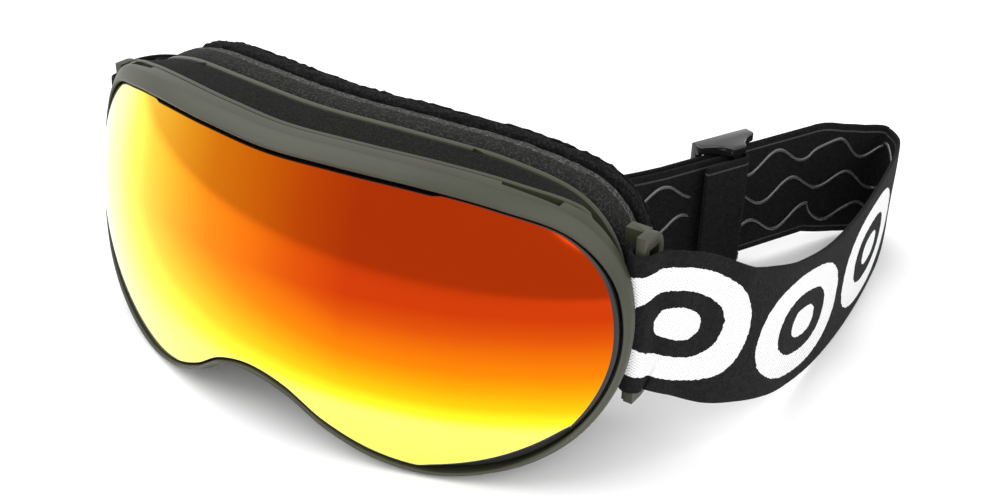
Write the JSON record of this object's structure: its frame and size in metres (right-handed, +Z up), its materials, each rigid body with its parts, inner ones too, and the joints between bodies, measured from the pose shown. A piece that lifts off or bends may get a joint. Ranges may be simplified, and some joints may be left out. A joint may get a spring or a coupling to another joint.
{
  "type": "ski goggles",
  "caption": "Snow goggles with a wide mirrored spherical lens, an olive frame with layered face foam, and a wide elastic strap on outriggers with a sliding adjuster.",
  "frame": {"origin": "middle of the goggles' footprint on the surface they stand on, strap included", "axes": "+Z up from the surface; the wearer looks along -Y, so the strap lies towards +Y; +X is the wearer's left"},
  "size_m": [0.2171, 0.2184, 0.0877],
  "materials": {
    "frame_olive": "matte moulded plastic, olive green",
    "lens_mirror": "fire-orange mirrored coating, glossy, running from pale yellow to deep red",
    "lens_inner": "clear brown-grey sheet, glossy",
    "seal_rubber": "matt black",
    "foam_vent": "open-cell foam, matt black",
    "foam_charcoal": "closed-cell foam, speckled charcoal",
    "foam_black": "soft foam, matt black",
    "fleece": "brushed fleece, black",
    "elastic_webbing": "knitted elastic, black with a white woven pattern outside",
    "grip_silicone": "printed silicone, satin dark grey",
    "slider_plastic": "glossy black moulding"
  },
  "bodies": {
    "frame": {"front_frame": "frame_olive", "face_frame": "frame_olive", "lens_gasket": "seal_rubber", "vent_foam_top": "foam_vent", "vent_foam_cheek_right": "foam_vent", "vent_foam_cheek_left": "foam_vent", "face_foam_charcoal": "foam_charcoal", "face_foam_black": "foam_black", "face_fleece": "fleece", "outrigger_right": "frame_olive", "outrigger_left": "frame_olive", "strap_end_right": "elastic_webbing", "strap_end_left": "elastic_webbing"},
    "lens": {"outer_lens": "lens_mirror", "inner_lens": "lens_inner", "lens_seal": "seal_rubber"},
    "strap": {"strap_main": "elastic_webbing", "strap_inner_layer": "elastic_webbing", "grip_line_top": "grip_silicone", "inner_grip_line_top": "grip_silicone", "grip_line_middle": "grip_silicone", "inner_grip_line_middle": "grip_silicone", "grip_line_bottom": "grip_silicone", "inner_grip_line_bottom": "grip_silicone"},
    "slider": {"strap_slider": "slider_plastic", "slider_tail": "elastic_webbing"}
  },
  "joints": [
    {"name": "lens_release", "type": "slide", "parent": "frame", "child": "lens", "axis": [0, -1, 0], "range_m": [0, 0.04]},
    {"name": "strap_swing", "type": "hinge", "parent": "frame", "child": "strap", "pos_m": [-0.00648, -0.0616, 0.0473], "axis": [1, 0, 0], "range_deg": [0, 45]},
    {"name": "slider_travel", "type": "slide", "parent": "strap", "child": "slider", "axis": [0.3994, 0.9168, 0], "range_m": [0, 0.025]}
  ]
}
